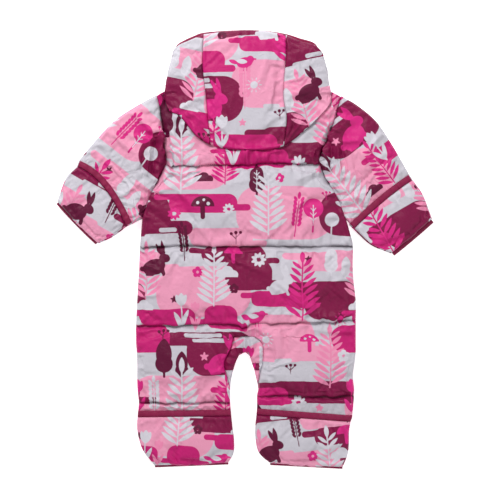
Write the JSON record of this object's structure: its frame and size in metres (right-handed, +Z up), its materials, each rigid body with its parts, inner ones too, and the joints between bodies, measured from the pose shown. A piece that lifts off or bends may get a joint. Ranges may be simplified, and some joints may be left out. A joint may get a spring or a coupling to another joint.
{
  "type": "baby snowsuit",
  "caption": "Padded hooded one-piece baby snowsuit laid flat on its front, quilted in bands, with fold-over hand and foot covers and a front zip.",
  "frame": {"origin": "centre of the bounding box in plan, on the surface the suit lies on", "axes": "+Y from the feet towards the hood, +Z up out of the suit's back, X across the suit; the wearer's left is -X"},
  "size_m": [0.6613, 0.7705, 0.0285],
  "materials": {
    "printed_shell": "padded printed woven polyester, soft sheen",
    "binding": "folded woven binding, matt",
    "zip_tape": "woven zip tape, matt",
    "zip_coil": "moulded coil, satin",
    "zip_metal": "enamelled zip slider and tab"
  },
  "bodies": {
    "garment": {"back": "printed_shell", "crotch_gusset": "printed_shell", "cuff_binding_left": "binding", "cuff_binding_right": "binding", "foot_binding_left": "binding", "foot_binding_right": "binding", "foot_flap_left": "printed_shell", "foot_flap_right": "printed_shell", "front_left": "printed_shell", "front_right": "printed_shell", "hood_binding_left": "binding", "hood_binding_brim": "binding", "hood_binding_right": "binding", "hood_centre": "printed_shell", "hood_left": "printed_shell", "hood_right": "printed_shell", "leg_end_binding_left": "binding", "leg_end_binding_right": "binding", "mitt_binding_left": "binding", "mitt_binding_right": "binding", "mitt_flap_left": "printed_shell", "mitt_flap_right": "printed_shell", "sleeve_left": "printed_shell", "sleeve_right": "printed_shell", "zip_coil": "zip_coil", "zip_slider": "zip_metal", "zip_tape_left": "zip_tape", "zip_tape_right": "zip_tape"},
    "pull": {"zip_pull": "zip_metal"}
  },
  "joints": [
    {"name": "pull_hinge", "type": "hinge", "parent": "garment", "child": "pull", "pos_m": [0, 0.146, 0.0027], "axis": [1, 0, 0], "range_deg": [0, 170]}
  ]
}
